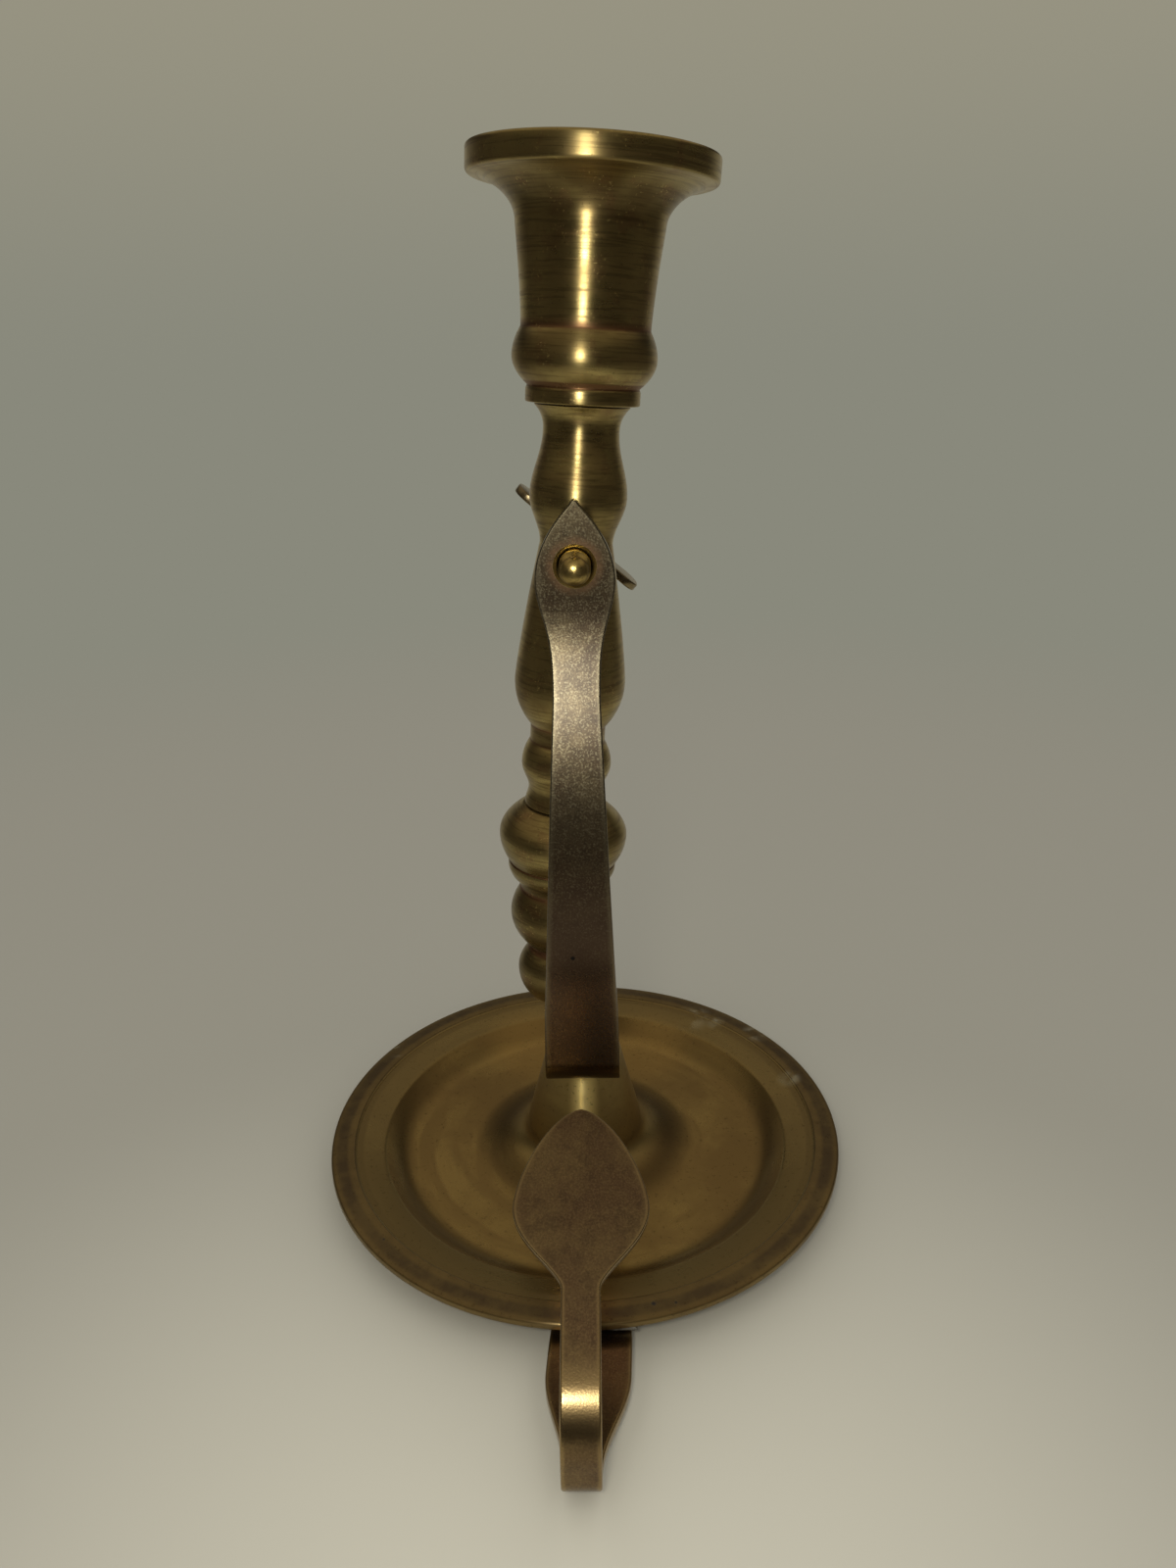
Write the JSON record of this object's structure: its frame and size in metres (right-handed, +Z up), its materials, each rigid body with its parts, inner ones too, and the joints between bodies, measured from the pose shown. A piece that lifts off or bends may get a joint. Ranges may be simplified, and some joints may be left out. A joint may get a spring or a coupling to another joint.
{
  "type": "gimbal candle holder",
  "caption": "Brass chamberstick whose turned candlestick swings on a thumbscrew at the top of a bowed arm over a drip pan with a finger handle.",
  "frame": {"origin": "on the surface that the drip pan stands on, under the middle of the holder's footprint", "axes": "+Z up, -Y the handle's side, +X to the right as seen from the handle"},
  "size_m": [0.126, 0.1582, 0.2245],
  "materials": {
    "polished_brass": "polished, lightly tarnished, with fine turning lines",
    "satin_brass": "satin, brown tarnish with fine grain",
    "pan_brass": "worn polish with tarnish and faint rings",
    "solder": "dull grey soft solder"
  },
  "bodies": {
    "base": {"drip_pan": "pan_brass", "carrying_handle": "satin_brass", "handle_solder": "solder", "swivel_screw": "polished_brass", "spring_washer": "satin_brass", "friction_washer": "satin_brass", "nut_washer": "satin_brass", "swivel_nut": "satin_brass"},
    "arm": {"gimbal_arm": "satin_brass", "front_spacer": "satin_brass"},
    "washer": {"back_washer": "satin_brass"},
    "thumbscrew": {"thumbscrew_shank": "polished_brass", "thumbscrew_wing": "satin_brass"},
    "candlestick": {"stem": "polished_brass", "candle_cup": "polished_brass", "cup_screw": "satin_brass", "bob": "polished_brass", "bob_stud": "satin_brass"}
  },
  "joints": [
    {"name": "arm_swivel", "type": "hinge", "parent": "base", "child": "arm", "pos_m": [0, 0.0161, 0.0305], "axis": [0, 0, 1], "continuous": true},
    {"name": "candlestick_swing", "type": "hinge", "parent": "arm", "child": "candlestick", "pos_m": [0, 0.0161, 0.1505], "axis": [0, 1, 0], "range_deg": [-161.5, 154.4]},
    {"name": "washer_slide", "type": "slide", "parent": "arm", "child": "washer", "axis": [0, 1, 0], "range_m": [0, 0.00254]},
    {"name": "thumbscrew_turn", "type": "hinge", "parent": "washer", "child": "thumbscrew", "pos_m": [0, 0.0161, 0.1505], "axis": [0, 1, 0], "range_deg": [0, 720]}
  ],
  "couplings": [
    {"joint": "thumbscrew_turn", "follows": "washer_slide", "rad_per_m": 4947.4}
  ]
}
